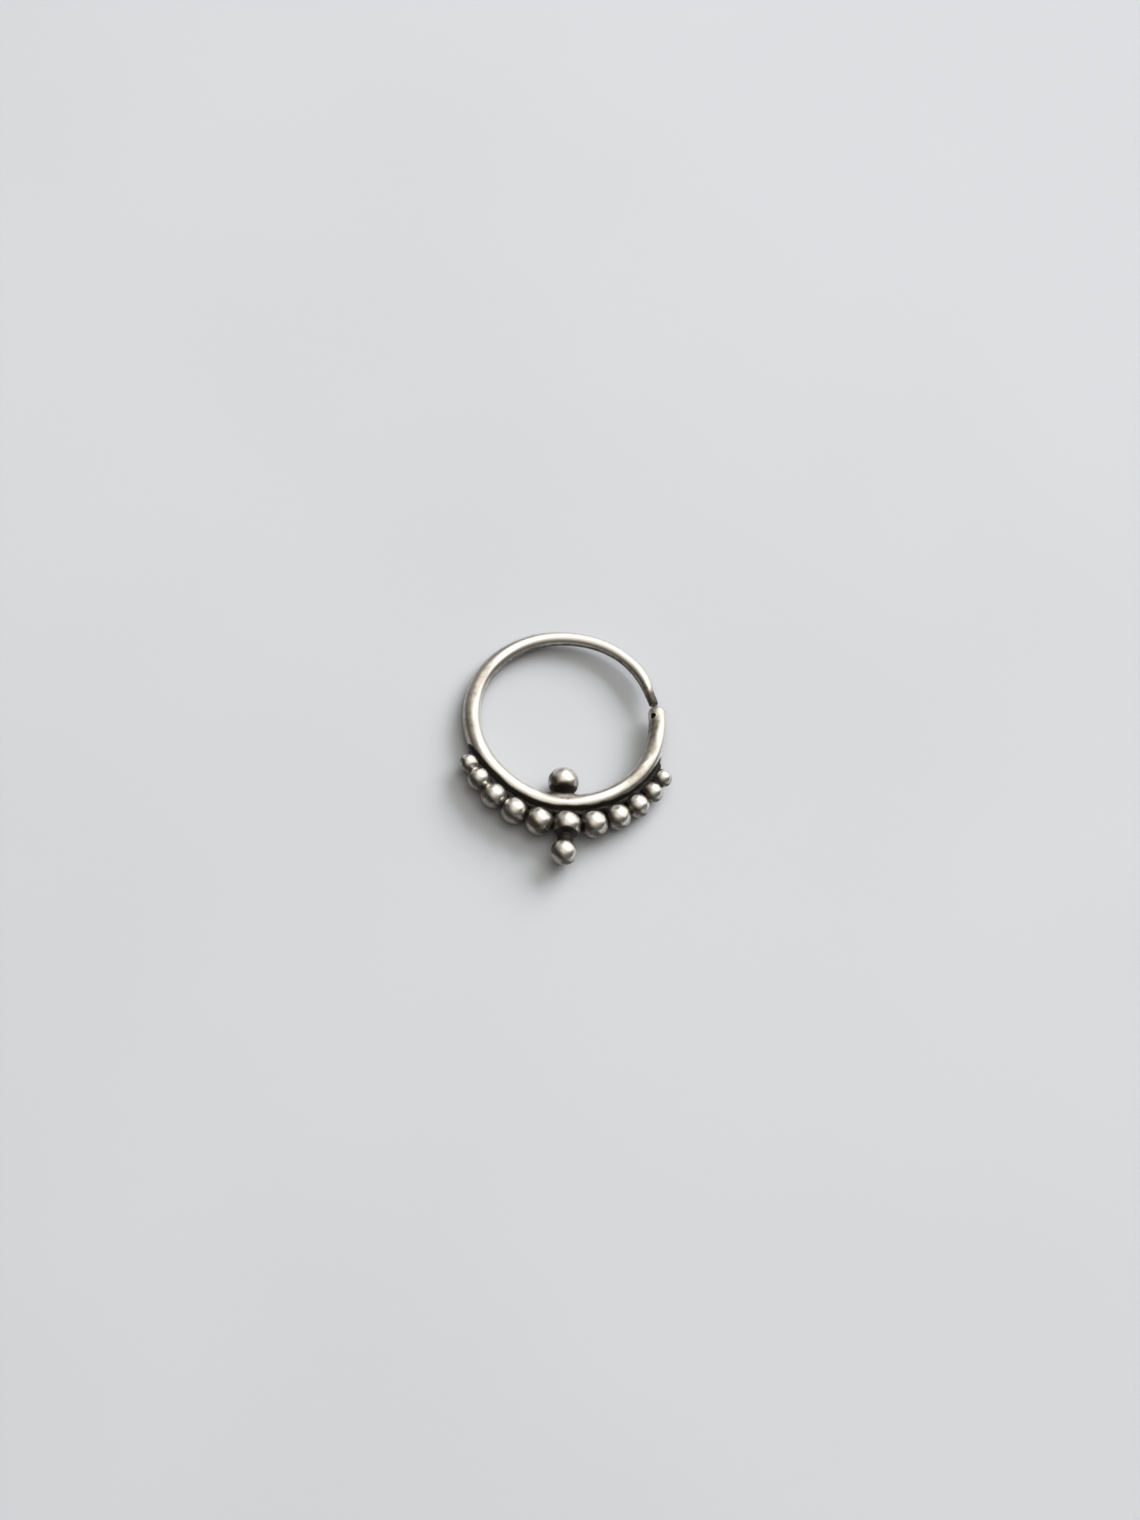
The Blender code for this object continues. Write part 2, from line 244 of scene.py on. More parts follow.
INNER_DARKENING_RISE = (-8.0, 22.0)  # degrees across the wire, about where the inner tarnish and painted shade begin
OUTER_DARKENING_FADE = (-15.0, 15.0)
# Tarnish and painted shade on the wire's underside, which faces the floor
UNDER_DARKENING = 0.40
UNDER_DARKENING_RISE = (0.1, 0.6)

# Film round the filed tip, by the distance from it, and on its end face: patina by the gap, with
# painted shade added on the inner side and on the end face, which faces the dome
TIP_FILM = 0.48
TIP_INNER_SHADE = 0.05  # painted shade added on the inner side
TIP_INNER_RISE = (-0.85, -0.1)
TIP_FADE = (0.00058, 0.00112)
TIP_END_FILM = 0.18
TIP_END_FADE = (0.00022, 0.00045)
# Painted shade on the tip's end face, which faces the dome across the gap
END_FACE_SHADE = 0.7
END_FACE_ROWS = 10  # the end's flat and the last of the chamfer

# Painted shade on a ball, with tarnish and painted dark reflection towards its underside: the way
# its shaded side faces, away from the lights, the depth along the edge of that side and the lesser
# depth further round it
SHADED_SIDE = (-0.55, -0.35, -0.75)
SHADE_EDGE_DEPTH = 0.55
SHADE_EDGE_RISE = (-0.42, -0.08)
LESSER_SHADE_DEPTH = 0.33
LESSER_SHADE_FADE = (0.06, 0.50)
BALL_UNDER_RISE = (-0.62, -0.30)

# Blackening on a ball: patina at its joints, with painted shade and the groove's painted dark
# reflection over the side that faces the wire. Rows give the shift of its way from straight towards
# the hoop's middle, the cosines to that way between which it rises, and those to a neighbour. The
# left end's balls have less of it.
LEFT_END_BALLS = 3
LEFT_END_BLACK_AND_SHADE = ((0.0, 0.0, -0.2), (0.48, 0.72), (0.86, 1.12))
ROW_BLACK_AND_SHADE = ((0.25, 0.0, -0.2), (0.32, 0.60), (0.72, 0.94))
# Inner ball: patina at its foot, with painted shade and painted dark reflection over that side
INNER_BALL_BLACK_AND_SHADE = (0.22, 0.70)
# Round the neck: patina at the joint, with painted shade over the middle ball's side towards the drop and
# the drop's side towards the neck
NECK_BLACK_AND_SHADE_ABOVE = (0.40, 0.66)
NECK_BLACK_AND_SHADE_BELOW = (0.60, 0.84)

# Blackening of the seam, which fades to the tarnish of the wire at its ends
SEAM_BLACK = 0.94
SEAM_END_BLACK = 0.55
SEAM_FADE = (0.00008, 0.0004)

# Camera, which looks at the ring as it was photographed
CAMERA_ELEVATION = 62.1  # above the hoop's own plane
CAMERA_AZIMUTH = 9.28  # from straight along +Y, turned towards -X
CAMERA_ROLL = 11.7
CAMERA_LENS = 240.0
CAMERA_SENSOR = 36.0
CAMERA_CLIP = 20.0  # how many times nearer and further than the ring it sees
IMAGE_HEIGHT_PX = 1520
PIXEL = 0.0000535  # size of one pixel of the image at the ring
AIM_RIGHT_PX = 4.7  # from the hoop's centre to the middle of the image
AIM_DOWN_PX = 39.4

# Soft lights: azimuth from +Y towards +X, elevation, distance, width, height and colour
WINDOW_PANEL = (38.0, 42.0, 1.25, 2.00, 1.75, (1.0, 0.985, 0.96))
KEY_PANEL = (40.0, 29.0, 1.20, 0.85, 0.55, (0.985, 0.985, 0.985))
SIDE_PANEL = (-38.0, 30.0, 0.55, 0.35, 0.45, (1.0, 0.98, 0.95))

# Light of the room, in rows of the upward part of a direction and the share of the zenith's
SKY_BANDS = ((0.0, 0.04), (0.26, 0.07), (0.50, 0.11), (0.72, 0.22), (0.86, 0.55), (0.95, 1.0), (1.0, 1.0))
SKY_TINT = (1.02, 0.97, 0.88)

FLOOR_SIDES = 96
FLOOR_CIRCLES = 24
FLOOR_UNEVEN_TONE = 0.97


def length(name, description, default):
    """A length of the ring or the stage."""
    return bpy.props.FloatProperty(
        name=name, description=description, default=default, min=0.0,
        precision=6, subtype="DISTANCE", unit="LENGTH",
    )


def share(name, description, default):
    """A share between 0 and 1."""
    return bpy.props.FloatProperty(
        name=name, description=description, default=default, min=0.0, max=1.0, subtype="FACTOR"
    )


def colour(name, description, default):
    """A linear colour."""
    return bpy.props.FloatVectorProperty(
        name=name, description=description, default=default, size=3, min=0.0, max=1.0, subtype="COLOR"
    )


def brightness(name, description, default):
    """The radiance of a light."""
    return bpy.props.FloatProperty(name=name, description=description, default=default, min=0.0)


class RingSizes(bpy.types.PropertyGroup):
    """Sizes of the ring"""

    hoop_diameter: length("Hoop", "Across the centreline of the wire", 0.0100)
    wire_diameter: length("Thick wire", "Wire that carries the crown", 0.00100)
    arc_diameter: length("Thin arc", "Wire worn in the piercing", 0.00068)
    tip_diameter: length("Tip", "Filed end of the thin arc", 0.00050)
    end_gap: length("Opening", "Gap between the dome and the tip", 0.00016)
    pit_diameter: length("Pit", "Across the drilled pit in the thick end", 0.00030)
    pit_depth: length("Pit depth", "Depth of the drilled pit", 0.00026)
    crown_ball_diameter: length("Middle ball", "Largest ball of the crown", 0.00158)
    seam_diameter: length("Solder seam", "Solder between the wire and the crown", 0.00044)
    inner_ball_diameter: length("Inner ball", "Ball inside the hoop", 0.00165)
    drop_ball_diameter: length("Drop ball", "Ball below the crown", 0.00142)
    neck_diameter: length("Neck", "Neck between the crown and the drop", 0.00084)
    neck_length: length("Neck length", "Bare length of the neck", 0.00012)


class RingFinish(bpy.types.PropertyGroup):
    """Colours and gloss of the silver and its blackening, whose colours also paint shade and dark
    reflections
    """

    silver: colour("Silver", "Polished silver", (0.935, 0.905, 0.855))
    tint: colour("Tint", "Thin tarnish at the edge of the blackening", (0.585, 0.545, 0.490))
    brown: colour("Brown", "Thicker tarnish", (0.128, 0.113, 0.092))
    black: colour("Black", "Blackening in the recesses", (0.029, 0.0255, 0.0225))
    polish: share("Polish roughness", "Roughness of the bright silver", 0.27)
    patina: share("Patina roughness", "Roughness of the blackening", 0.42)
    groove_reach: length("Groove reach", "How far the wire is black beside the crown", 0.00027)


class StageLook(bpy.types.PropertyGroup):
    """Floor and lights"""

    floor: colour("Floor", "Pale matt floor", (0.540, 0.561, 0.594))
    floor_radius: length("Floor radius", "Reach of the floor from the ring", 0.9)
    window: brightness("Window", "Radiance of the large soft light, which the metal mirrors", 1.14)
    key: brightness("Key", "Radiance of the smaller light below it, which draws the shadows", 13.6)
    overhead: brightness("Overhead", "Radiance of the room straight above", 0.85)
    side: brightness("Side", "Radiance of the dim light at the left", 0.3)


# Shape of the ring, in its own frame


def smooth_through(places, values, at):
    """A cubic through (place, value) rows, whose slope at each row is that of its neighbours."""
    at = np.clip(at, places[0], places[-1])
    slopes = np.gradient(values, places)
    k = np.clip(np.searchsorted(places, at, side="right") - 1, 0, len(places) - 2)
    width = places[k + 1] - places[k]
    t = (at - places[k]) / width
    start = (1 + 2 * t) * (1 - t) ** 2 * values[k] + t * (1 - t) ** 2 * width * slopes[k]
    end = t * t * (3 - 2 * t) * values[k + 1] - t * t * (1 - t) * width * slopes[k + 1]
    return start + end


def smooth_step(value, low, high):
    """0 below low, 1 above high and 3t^2 - 2t^3 between them."""
    t = np.clip((value - low) / (high - low), 0.0, 1.0)
    return t * t * (3 - 2 * t)


def unit(vectors):
    """Vectors divided by their lengths."""
    vectors = np.asarray(vectors, dtype=float)
    return vectors / np.linalg.norm(vectors, axis=-1, keepdims=True)


def round_the_tube(sides):
    """Angles once round a tube, in radians."""
    return np.linspace(0.0, 2 * math.pi, sides, endpoint=False)


def hoop_sweep(sizes):
    """Degrees of wire from the start of the dome round to the tip, with the opening left out."""
    dome_and_gap = sizes.wire_diameter / 2 + sizes.end_gap
    return 360.0 - math.degrees(dome_and_gap / (sizes.hoop_diameter / 2))


def hoop_at(sizes, angle):
    """The wire's centreline radius and thickness at an angle round the hoop."""
    places = HOOP_SECTIONS[:, 0]
    diameters = np.array([sizes.wire_diameter, sizes.arc_diameter, sizes.tip_diameter])
    place = np.mod(OPENING_ANGLE - np.asarray(angle, dtype=float), 360.0) / hoop_sweep(sizes)
    reach = smooth_through(places, HOOP_SECTIONS[:, 1], place) * sizes.hoop_diameter / 2
    thickness = smooth_through(places, HOOP_SECTIONS[:, 2:5] @ diameters, place)
    filed = smooth_through(places, HOOP_SECTIONS[:, 5], place)
    return reach - filed * (sizes.arc_diameter - sizes.tip_diameter) / 2, thickness


def round_hoop(radius, angle, height=0.0):
    """The point or points at a radius and an angle round the hoop."""
    turn = np.radians(angle)
    return np.stack(np.broadcast_arrays(radius * np.sin(turn), -radius * np.cos(turn), height), axis=-1)


def angle_of(points):
    """Degrees round the hoop of each point."""
    return np.degrees(np.arctan2(points[..., 0], -points[..., 1]))


def crown_balls(sizes):
    """Centre, radius, angle and lift of each ball, from the last on the left to the last on the right.

    Each ball sits against the wire and against its neighbour nearer the middle, at an angle that is
    found by halving.
    """

    def seat(row, angle):
        portion, stand_off, lift = row
        radius = portion * sizes.crown_ball_diameter / 2
        reach, thickness = hoop_at(sizes, angle)
        out = thickness / 2 + radius * (1 + stand_off) - WIRE_SINK
        tilt = math.radians(lift)
        return round_hoop(reach + out * math.cos(tilt), angle, out * math.sin(tilt)), radius

    def walk(rows, side):
        placed = []
        angle = CROWN_ANGLE
        last_centre, last_radius = seat(MIDDLE_BALL, angle)
        for row in rows:
            near, far = angle, angle + side * NEXT_BALL_REACH
            for _ in range(NEXT_BALL_HALVINGS):
                middle = (near + far) / 2
                centre, radius = seat(row, middle)
                if np.linalg.norm(centre - last_centre) < last_radius + radius - BALL_SINK:
                    near = middle
                else:
                    far = middle
            angle = (near + far) / 2
            last_centre, last_radius = seat(row, angle)
            placed.append((last_centre, last_radius, angle, row[2]))
        return placed

    centre, radius = seat(MIDDLE_BALL, CROWN_ANGLE)
    middle_ball = (centre, radius, CROWN_ANGLE, MIDDLE_BALL[2])
    return walk(LEFT_BALLS, -1)[::-1] + [middle_ball] + walk(RIGHT_BALLS, 1)


def inner_ball(sizes):
    """Centre and radius of the ball inside the hoop."""
    radius = sizes.inner_ball_diameter / 2
    reach, thickness = hoop_at(sizes, INNER_BALL_ANGLE)
    inward = thickness / 2 + radius - WIRE_SINK
    tilt = math.radians(INNER_BALL_LIFT)
    return round_hoop(reach - inward * math.cos(tilt), INNER_BALL_ANGLE, inward * math.sin(tilt)), radius


def drop_ball(sizes, middle_ball):
    """Centre and radius of the ball below the crown."""
    radius = sizes.drop_ball_diameter / 2
    distance = middle_ball[1] + sizes.neck_length + radius
    centre = middle_ball[0] + distance * round_hoop(1.0, CROWN_ANGLE - DROP_LEAN)
    return centre * [1.0, 1.0, 0.0], radius


def seam_at(sizes, balls, angles):
    """Centre and radius of the solder in the groove at angles round the hoop, and where it ends."""
    ball_angles = np.array([ball[2] for ball in balls])
    lifts = np.radians([ball[3] for ball in balls])
    overrun = math.degrees((balls[0][1] + SEAM_OVERRUN) / (sizes.hoop_diameter / 2))
    low = ball_angles[0] - overrun
    high = ball_angles[-1] + overrun
    angles = np.clip(angles, low, high)
    tilt = np.interp(angles, ball_angles, lifts)
    reach, thickness = hoop_at(sizes, angles)
    along = (angles - low) / (high - low)
    taper = np.clip(np.minimum(along, 1 - along) / SEAM_TAPER, 0.0, 1.0)
    full = sizes.seam_diameter / 2
    radii = full * (SEAM_END + (1 - SEAM_END) * np.sqrt(taper))
    out = thickness / 2 + full - SEAM_DEPTH - (full - radii)
    return round_hoop(reach + out * np.cos(tilt), angles, out * np.sin(tilt)), radii, (low, high)


# How far points are from the ring's pieces, negative inside them


def to_ball(points, ball):
    """Distance to the centre, less the radius."""
    return np.linalg.norm(points - ball[0], axis=-1) - ball[1]


def to_wire(points, sizes):
    """Distance to the tube round the hoop's centreline at each point's own angle."""
    reach, thickness = hoop_at(sizes, angle_of(points))
    across = np.linalg.norm(points[..., :2], axis=-1) - reach
    return np.hypot(across, points[..., 2]) - thickness / 2


def to_seam(points, sizes, balls):
    """Distance to the solder at each point's own angle."""
    centres, radii, _ = seam_at(sizes, balls, angle_of(points))
    return np.linalg.norm(points - centres, axis=-1) - radii


def fillet(distance, swell=FILLET_SWELL, reach=FILLET_REACH):
    """Swell of a surface near a neighbour: swell times exp of minus (distance over reach) squared."""
    return swell * np.exp(-((np.maximum(distance, 0.0) / reach) ** 2))


def wobble(points, wavelength, seed):
    """A smooth uneven value between about -1 and 1: a sum of eight sines in chosen directions."""
    dice = np.random.default_rng(seed)
    directions = unit(dice.normal(size=(8, 3)))
    phases = dice.uniform(0.0, 2 * math.pi, 8)
    rates = 2 * math.pi / (wavelength * dice.uniform(0.7, 1.5, 8))
    return np.sin((points @ directions.T) * rates + phases).sum(axis=-1) / math.sqrt(8.0)


def waves(points, rows):
    """The sum of depth times wobble over rows of depth, wavelength and seed."""
    return sum(depth * wobble(points, wavelength, seed) for depth, wavelength, seed in rows)


# Meshes


def laid_down(points, sizes):
    """Points of the ring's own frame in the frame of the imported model.

    The turn is the least one that takes +Z to the hoop's axis, and the shift takes the top of the
    thin arc to the mount on it.
    """
    mount = RECORD["mounts"][0]
    turn = Vector((0.0, 0.0, 1.0)).rotation_difference(Vector(mount["axis"]))
    rotation = np.array(turn.to_matrix())
    reach, _ = hoop_at(sizes, 180.0)
    shift = np.array(mount["pos_m"]) - rotation @ round_hoop(float(reach), 180.0)
    return points @ rotation.T + shift


def add_closed_tube(name, rings, poles, blackening_and_shade, pole_blackening_and_shade, sizes):
    """A closed piece from rings of points, with a fan of triangles to a pole at each end.

    rings is sections by sides by 3 and blackening_and_shade, the patina and painted shade, sections
    by sides. Faces point out where the sides turn counterclockwise as seen from the end, looking back.
    """
    sections, sides, _ = rings.shape
    points = np.concatenate([rings.reshape(-1, 3), poles])
    here = np.arange(sections * sides).reshape(sections, sides)
    onward = np.roll(here, -1, axis=1)
    quads = np.stack([here[:-1], onward[:-1], onward[1:], here[1:]], axis=-1).reshape(-1, 4)
    first_pole = np.full(sides, sections * sides)
    start_fan = np.stack([first_pole, onward[0], here[0]], axis=-1)
    end_fan = np.stack([first_pole + 1, here[-1], onward[-1]], axis=-1)
    faces = quads.tolist() + start_fan.tolist() + end_fan.tolist()
    mesh = bpy.data.meshes.new(name)
    mesh.from_pydata(laid_down(points, sizes), [], faces)
    mesh.polygons.foreach_set("use_smooth", np.ones(len(mesh.polygons), dtype=bool))
    attribute = mesh.attributes.new("blackening_and_shade", "FLOAT", "POINT")
    depths = np.concatenate([blackening_and_shade.ravel(), pole_blackening_and_shade])
    attribute.data.foreach_set("value", depths.astype(np.float32))
    mesh.update()
    piece = bpy.data.objects.new(name, mesh)
    bpy.context.scene.collection.objects.link(piece)
    piece.data.materials.append(silver_material())
    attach(piece, "root")
    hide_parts(NODE)
    return piece


def hoop_rows(sizes):
    """Centres, radii, outward and onward directions and angles of the wire's cross-sections.

    They run from the thick end, which closes with a half sphere, sin and cos of the rise times the
    radius, to the thin one, which closes with a quarter-round chamfer and a flat.
    """
    places = np.concatenate([
        np.linspace(0.0, THICK_END_SHARE, THICK_END_ROWS, endpoint=False),
        np.linspace(THICK_END_SHARE, 1 - TIP_SHARE, MIDDLE_ROWS, endpoint=False),
        np.linspace(1 - TIP_SHARE, 1.0, TIP_ROWS),
    ])
    angles = OPENING_ANGLE - places * hoop_sweep(sizes)
    reach, thickness = hoop_at(sizes, angles)
    path = round_hoop(reach, angles)
    radii = thickness / 2
    ahead = unit(np.gradient(path, places, axis=0))
    side = np.cross(ahead, UP)
    outward = side * np.sign((side * path).sum(axis=-1, keepdims=True))

    rise = np.radians(np.linspace(90.0 - DOME_STEP, DOME_STEP, DOME_ROWS))[:, None]
    dome = path[0] - radii[0] * np.sin(rise) * ahead[0]
    bevel = np.radians(np.linspace(CHAMFER_START, 90.0, CHAMFER_ROWS))[:, None]
    edge = path[-1] + TIP_CHAMFER * np.sin(bevel) * ahead[-1]
    edge_radii = radii[-1] - TIP_CHAMFER * (1 - np.cos(bevel[:, 0]))
    flat = np.repeat(edge[-1:], FLAT_ROWS, axis=0)
    flat_radii = edge_radii[-1] * np.linspace(*FLAT_REACH, FLAT_ROWS)

    def over_ends(values):
        """The path's values, with the first one on the dome and the last one on the tip's end."""
        start = np.repeat(values[:1], DOME_ROWS, axis=0)
        end = np.repeat(values[-1:], CHAMFER_ROWS + FLAT_ROWS, axis=0)
        return np.concatenate([start, values, end])

    centres = np.concatenate([dome, path, edge, flat])
    all_radii = np.concatenate([radii[0] * np.cos(rise[:, 0]), radii, edge_radii, flat_radii])
    return centres, all_radii, over_ends(outward), over_ends(ahead), over_ends(angles)


def tarnish_and_shade(turn, across):
    """Depth of the tarnish and painted shade on the wire: the greatest of the inner side's, the outer
    side's and the underside's, each of which rises or fades smoothly across the wire.
    """
    inner_start, inner, outer, outer_end = (
        np.interp(turn, WIRE_TARNISH_AND_SHADE[:, 0], WIRE_TARNISH_AND_SHADE[:, column]) for column in (1, 2, 3, 4)
    )
    inside = inner * smooth_step(across - inner_start, *INNER_DARKENING_RISE)
    outside = outer * (1.0 - smooth_step(across - outer_end, *OUTER_DARKENING_FADE))
    under = UNDER_DARKENING * smooth_step(-np.sin(np.radians(across)), *UNDER_DARKENING_RISE)
    return np.maximum.reduce([inside, outside, under])


def wire_blackening_and_shade(points, turn, across, near_groove, near_inner, groove_reach):
    """Depth of the blackening on the wire: the greatest of the groove's, that of the inner ball's
    foot, the faint tinge round that foot and the tarnish with its painted shade, each with an uneven
    edge.
    """
    uneven = 1.0 + waves(points, GROOVE_EDGE_WAVES)
    reach = groove_reach * np.interp(turn, GROOVE_ANGLES, GROOVE_SHARES)
    groove = 1.0 - smooth_step(near_groove * uneven / reach, *GROOVE_FADE)
    foot = FOOT_BLACK - FOOT_BLACK * smooth_step(near_inner * uneven, *FOOT_FADE)
    tinge = FOOT_TINGE * (1.0 - smooth_step(near_inner, *FOOT_TINGE_FADE))
    tinge = tinge * smooth_step(across, *FOOT_TINGE_RISE)
    film_and_shade = tarnish_and_shade(turn, across + waves(points, DARKENING_EDGE_WAVES))
    return np.maximum.reduce([groove, foot, tinge, film_and_shade])


def tip_film_and_shade(points, tip, around):
    """Depth of the patina and painted shade round the filed tip, in rows of sections: two steps that
    fade with the distance from the tip, the first a little deeper on the inner side, and the end
    face's painted shade.
    """
    from_tip = np.linalg.norm(points - tip, axis=-1)
    inside = smooth_step(-np.cos(around)[None, :], *TIP_INNER_RISE)
    film_and_shade = (1.0 - smooth_step(from_tip, *TIP_FADE)) * (TIP_FILM + TIP_INNER_SHADE * inside)
    film_and_shade += TIP_END_FILM * (1.0 - smooth_step(from_tip, *TIP_END_FADE))
    row = np.arange(len(points))[:, None]
    film_and_shade = np.where(row > len(points) // 2, film_and_shade, 0.0)
    return np.where(row >= len(points) - END_FACE_ROWS, np.maximum(film_and_shade, END_FACE_SHADE), film_and_shade)


def drill_pit(points, sizes):
    """How far points move as the pit is drilled, and how deep inside it they are, from 0 to 1.

    Inside the drill's radius a point goes along the drill to the height r - depth + k d, where d is
    its distance from the drill's line, and a burr exp(-((d - radius - w) / w)^2) stands round it.
    """
    turn = OPENING_ANGLE - math.degrees(PIT_SETBACK / (sizes.hoop_diameter / 2))
    reach, thickness = hoop_at(sizes, turn)
    lean = math.radians(PIT_LEAN)
    drill = round_hoop(-math.sin(lean), turn, math.cos(lean))
    foot = round_hoop(float(reach), turn)
    height = (points - foot) @ drill
    off_axis = np.linalg.norm(points - foot - height[..., None] * drill, axis=-1)
    radius = sizes.pit_diameter / 2
    bottom = thickness / 2 - sizes.pit_depth + PIT_CONE * off_axis
    above = height > 0
    cut = (1.0 - smooth_step(off_axis, radius - PIT_EDGE_INSIDE, radius + PIT_EDGE_OUTSIDE)) * above
    burr = BURR_HEIGHT * np.exp(-(((off_axis - radius - BURR_WIDTH) / BURR_WIDTH) ** 2)) * above
    return (cut * (bottom - height) + burr)[..., None] * drill, cut


def make_hoop(sizes, finish):
    """The wire: circles of radius r(s) square to a path c(s) round the hoop.

    A point is c + r (cos(a) n + sin(a) z), where n points away from the hoop's centre. Angles a are
    crowded towards the pit by a = u - k sin(u - pit). Solder swells the wire near each ball.
    """
    centres, radii, outward, ahead, turn = hoop_rows(sizes)
    even = round_the_tube(WIRE_SIDES)
    around = even - PIT_CROWDING * np.sin(even - math.radians(90.0 + PIT_LEAN))
    facing = np.cos(around)[None, :, None] * outward[:, None] + np.sin(around)[None, :, None] * UP
    points = centres[:, None] + radii[:, None, None] * facing
    points += (waves(points, WIRE_WAVES) * radii[:, None])[..., None] * facing

    balls = crown_balls(sizes)
    near_row = np.minimum.reduce([to_ball(points, ball) for ball in balls])
    near_seam = to_seam(points, sizes, balls)
    near_inner = to_ball(points, inner_ball(sizes))
    swell = fillet(np.minimum(near_row, near_seam)) + fillet(near_inner, MOUND_SWELL, MOUND_REACH)
    points += swell[..., None] * facing

    across = np.mod(np.degrees(around)[None, :] + 90.0, 360.0) - 90.0
    near_groove = np.minimum(near_row, near_seam - SEAM_MARGIN)
    black = np.maximum(
        wire_blackening_and_shade(points, turn[:, None], across, near_groove, near_inner, finish.groove_reach),
        tip_film_and_shade(points, centres[-1], around),
    )
    moved, pit = drill_pit(points, sizes)
    points += moved
    black = np.maximum(black, pit)

    pole_gap = radii[0] * math.tan(math.radians(DOME_STEP / 2))
    poles = [centres[0] - pole_gap * ahead[0], centres[-1]]
    ends = [black[0].mean(), black[-1].mean()]
    add_closed_tube("septum_hoop", points[:, ::-1], poles, black[:, ::-1], ends, sizes)


def ball_directions(towards):
    """Unit directions on a grid with its poles along w: cos(p) w + sin(p)(cos(q) t + sin(q) b)."""
    first = unit(towards)
    second = unit(np.cross(UP, first))
    third = np.cross(first, second)
    down = np.linspace(0.0, math.pi, BALL_ROWS + 2)[1:-1, None, None]
    around = round_the_tube(BALL_SIDES)[None, :, None]
    return np.cos(down) * first + np.sin(down) * (np.cos(around) * second + np.sin(around) * third)


def hand_flattened(directions, seed):
    """Reach of a handmade granule, as a share of its radius.

    It is slightly oval and uneven, 1 + a (n . q)^2 + b w(n), and the smooth least of that and a few
    planes h / (n . p), which are the flats that hammering and polishing leave.
    """
    dice = np.random.default_rng(seed)
    long_way = unit(dice.normal(size=3))
    reach = 1.0 + BALL_OVAL * ((directions @ long_way) ** 2 - 1.0 / 3.0)
    planes = unit(dice.normal(size=(FLATS, 3)))
    heights = dice.uniform(*FLAT_HEIGHTS, FLATS)
    reach = reach + BALL_UNEVEN * wobble(directions, BALL_UNEVEN_LENGTH, seed + UNEVEN_SEED_STEP)
    cosines = np.maximum(directions @ planes.T, FLAT_LEAST_COSINE)
    flats = np.exp(-FLAT_SHARPNESS * heights / cosines).sum(axis=-1)
    return -np.log(np.exp(-FLAT_SHARPNESS * reach) + flats) / FLAT_SHARPNESS


def ball_film_and_shade(directions, uneven):
    """Depth of the painted shade on a ball, with tarnish and painted dark reflection towards its
    underside: it rises to a peak along the edge of the shaded side, falls a little further round, and
    rises less towards the underside.
    """
    toward_shade = directions @ unit(SHADED_SIDE) + uneven
    depth = SHADE_EDGE_DEPTH - (SHADE_EDGE_DEPTH - LESSER_SHADE_DEPTH) * smooth_step(toward_shade, *LESSER_SHADE_FADE)
    under = LESSER_SHADE_DEPTH * smooth_step(uneven - directions[..., 2], *BALL_UNDER_RISE)
    return np.maximum(depth * smooth_step(toward_shade, *SHADE_EDGE_RISE), under)


def make_ball(name, ball, towards, neighbours, black_from, seed, sizes):
    """A granule: centre + radius times the handmade reach along each direction, swollen at its joints.

    neighbours are functions that give the distance of points to what the ball is soldered to.
    black_from are (direction, low, high): blackening, which holds patina and painted shade, rises as
    the cosine to that direction goes from low to high.
    """
    centre, radius = ball[0], ball[1]

    def surface(d):
        points = centre + (radius * hand_flattened(d, seed))[..., None] * d
        swell = sum(fillet(distance(points), BALL_SWELL, BALL_SWELL_REACH) for distance in neighbours)
        points = points + np.minimum(swell, BALL_MOST_SWELL * BALL_SWELL)[..., None] * d
        uneven = BALL_EDGE_DEPTH * wobble(points, BALL_EDGE_LENGTH, seed + EDGE_SEED_STEP)
        black = [smooth_step(d @ unit(way) + uneven, low, high) for way, low, high in black_from]
        return points, np.maximum.reduce([*black, ball_film_and_shade(d, uneven)])

    points, black = surface(ball_directions(towards))
    poles, pole_black = surface(np.array([unit(towards), -unit(towards)]))
    add_closed_tube(name, points, poles, black, pole_black, sizes)


def make_crown(sizes):
    """The row of balls, each blackened towards the wire and, close in, towards its neighbours: patina at
    the joints, with painted shade and the groove's painted dark reflection over the side facing the wire.
    """
    balls = crown_balls(sizes)
    for number, ball in enumerate(balls):
        to_middle = -round_hoop(1.0, ball[2])
        beside = [balls[k] for k in (number - 1, number + 1) if 0 <= k < len(balls)]
        neighbours = [lambda p: to_wire(p, sizes), lambda p: to_seam(p, sizes, balls)]
        neighbours += [lambda p, other=other: to_ball(p, other) for other in beside]
        shift, to_groove, to_others = LEFT_END_BLACK_AND_SHADE if number < LEFT_END_BALLS else ROW_BLACK_AND_SHADE
        black_from = [(to_middle + shift, *to_groove)]
        black_from += [(other[0] - ball[0], *to_others) for other in beside]
        if number == len(LEFT_BALLS):
            drop = drop_ball(sizes, ball)
            black_from.append((drop[0] - ball[0], *NECK_BLACK_AND_SHADE_ABOVE))
        name = f"crown_ball_{number + 1:02d}"
        make_ball(name, ball, to_middle, neighbours, black_from, FIRST_CROWN_SEED + number, sizes)


